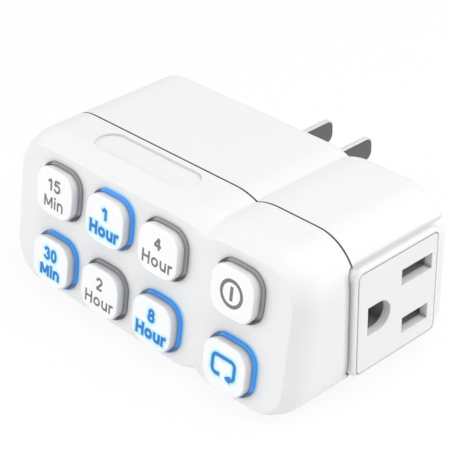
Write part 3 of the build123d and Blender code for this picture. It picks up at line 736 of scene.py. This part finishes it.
# %% Print on a cap
# Reach past a path's ends, as a share of the stroke and of a halo's extra width.
ink_past_ends, halo_past_ends = 0.25, 0.3


def put_on_cap(drawing, name, part, finish):
    """Place a flat drawing on its cap, give it its finish and let it ride on the button."""
    drawing.data.transform(cap_place(name))
    drawing.name = f"{part}_{name}"
    drawing.data.materials.append(finish)
    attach(drawing, f"button_{name}")


def print_on_cap(name, part, paths, stroke):
    """Ink along paths on a cap, with two pale halos under it where the button is lit."""
    lit = name in lit_buttons
    reach = ink_past_ends * stroke
    ink = ribbon(paths, stroke, reach, ink_height)
    put_on_cap(ink, name, part, ink_blue if lit else ink_grey)
    for layer, width, height, finish in halos if lit else []:
        halo = ribbon(paths, stroke + width, reach + halo_past_ends * width, height)
        put_on_cap(halo, name, f"{part}_{layer}", finish)


print("printing ready")

# %% [markdown]
# ## Words and signs on the caps
#
# Six buttons set a time: a number stands over a word. The other two have drawn signs, a ring
# with a bar for power and a loop with an arrow for repeat. Light makes a line look wider, so the
# lit legends have wider strokes. All places are in millimetres from a cap's middle.

# %% Letter the timer buttons
# Half the width of each number; each word's left, right, low and high limits.
number_low, number_high = 0.62, 3.25
number_halves = {"1": 0.5, "2": 0.85, "4": 0.95, "8": 0.8, "15": 1.95, "30": 1.95}
words = {"hour": ("Hour", -4.36, 5.0, -3.7, -0.9), "min": ("Min", -3.1, 3.2, -3.75, -1.15)}
timer_buttons = [name for name in button_names if "_" in name]
for name in timer_buttons:
    number, unit = name.split("_")
    number_stroke, word_stroke = (0.84, 0.89) if name in lit_buttons else (0.66, 0.58)
    half = number_halves[number]
    print_on_cap(name, "number", spell(number, -half, half, number_low, number_high), number_stroke)
    print_on_cap(name, "word", spell(*words[unit]), word_stroke)
print("lettered", timer_buttons)

# %% Draw the power sign
power_ring = arc(0, 0, 2.99, 2.92, 0, 360, 48)
power_bar = [(0, 1.43), (0, -1.43)]
print_on_cap("power", "sign_ring", [power_ring], 0.85)
print_on_cap("power", "sign_bar", [power_bar], 0.92)
print("power sign drawn")

# %% Draw the repeat sign
loop_right, loop_top, loop_bottom, loop_corner = 3.28, 2.4, -2.05, 1.2
bend_x = loop_right - loop_corner
bend_top, bend_bottom = loop_top - loop_corner, loop_bottom + loop_corner
repeat_loop = [(-1.14, loop_bottom)]
repeat_loop += arc(-bend_x, bend_bottom, loop_corner, loop_corner, 270, 180)
repeat_loop += arc(-bend_x, bend_top, loop_corner, loop_corner, 180, 90)
repeat_loop += arc(bend_x, bend_top, loop_corner, loop_corner, 90, 0)
repeat_loop += arc(bend_x, bend_bottom, loop_corner, loop_corner, 0, -90)
repeat_loop += [(1.36, loop_bottom)]
print_on_cap("repeat", "sign_loop", [repeat_loop], 0.98)
print("repeat loop drawn")

# %% Add the arrow of the repeat sign
arrow_x, arrow_size = 1.7, 1.2
bpy.ops.object.select_all(action="DESELECT")
bpy.ops.mesh.primitive_cylinder_add(vertices=3, radius=arrow_size, depth=2 * ink_height)
arrow = bpy.context.object
arrow_turn = Matrix.Rotation(radians(90), 4, "Z")
arrow_shift = Matrix.Translation((arrow_x * mm, loop_bottom * mm, 0.0))
arrow.data.transform(arrow_shift @ arrow_turn @ Matrix.Diagonal((mm, mm, mm, 1.0)))
put_on_cap(arrow, "repeat", "sign_arrow", ink_blue)
print("repeat arrow drawn")

# %% [markdown]
# ## The contacts, the plug and what the box holds
#
# The blades, the ground pin and the switch housings are nickel plated. A face that looks up
# mirrors the pale room, so it gets a pale colour, and the flanks stay dark. The busbars are plain
# brass, and the boards carry the usual parts. Little of this shows, but the part is also looked
# at in pieces.

# %% Finish the metal
nickel = moulded("nickel_plate", (0.17, 0.16, 0.165), cloud=0.25, gloss=0.28, grain=0.02, metal=1.0)
tree = nickel.node_tree
facing = tree.nodes.new("ShaderNodeTexCoord")
facing_up = tree.nodes.new("ShaderNodeVectorMath")
facing_up.operation = "DOT_PRODUCT"
facing_up.inputs[1].default_value = upward
tree.links.new(facing.outputs["Normal"], facing_up.inputs[0])
upper_edge = rise(tree, facing_up.outputs["Value"], 0.3, 0.7)
# Painted reflection: a face that looks up gets the pale colour of the room it mirrors, and less metal.
mirrored_room = (0.72, 0.72, 0.73)
recolour(nickel, upper_edge, mirrored_room)
metal_share = rise(tree, upper_edge, 1.0, 0.0)
tree.links.new(metal_share, tree.nodes["Principled BSDF"].inputs["Metallic"])
brass = moulded("brass_strip", (0.72, 0.52, 0.24), cloud=0.15, gloss=0.32, grain=0.04, metal=1.0)
zinc = moulded("zinc_plate", (0.58, 0.59, 0.60), cloud=0.1, gloss=0.35, grain=0.04, metal=1.0)
finish_nodes(nickel, "neutral_blade", "line_blade", "ground_pin", "switch_housings")
finish_nodes(brass, "neutral_busbar", "line_busbar", "ground_busbar")
finish_nodes(zinc, "casing_screws", "board_screws")
print("metal finished")

# %% Finish the boards and their parts
board_green = moulded("board_green", (0.02, 0.16, 0.07), cloud=0.3, gloss=0.3, grain=0.05)
resin_black = moulded("resin_black", (0.015, 0.015, 0.017), cloud=0.3, gloss=0.5, grain=0.1)
relay_blue = moulded("relay_blue", (0.03, 0.10, 0.35), cloud=0.1, gloss=0.35)
film_yellow = moulded("film_yellow", (0.75, 0.50, 0.06), cloud=0.1, gloss=0.4)
sleeve_black = moulded("sleeve_black", (0.03, 0.03, 0.05), cloud=0.2, gloss=0.25)
varistor_blue = moulded("varistor_blue", (0.04, 0.16, 0.42), cloud=0.15, gloss=0.3)
fuse_glass = moulded("fuse_glass", (0.70, 0.74, 0.75), cloud=0.05, gloss=0.08)
lamp_lens = moulded("lamp_lens", (0.85, 0.88, 0.80), cloud=0.05, gloss=0.2)
wire_black = moulded("wire_black", (0.02, 0.02, 0.022), cloud=0.2, gloss=0.45)
finish_nodes(board_green, "keypad_board", "power_board")
finish_nodes(resin_black, "microcontroller", "rectifier_diodes", "board_header")
finish_nodes(resin_black, *[f"switch_plunger_{n}" for n in button_names])
finish_nodes(relay_blue, "relay")
finish_nodes(film_yellow, "dropper_capacitor")
finish_nodes(sleeve_black, "smoothing_capacitor")
finish_nodes(varistor_blue, "varistor")
finish_nodes(fuse_glass, "fuse")
finish_nodes(lamp_lens, "keypad_lamps")
finish_nodes(wire_black, "hookup_wires")
print("boards finished")
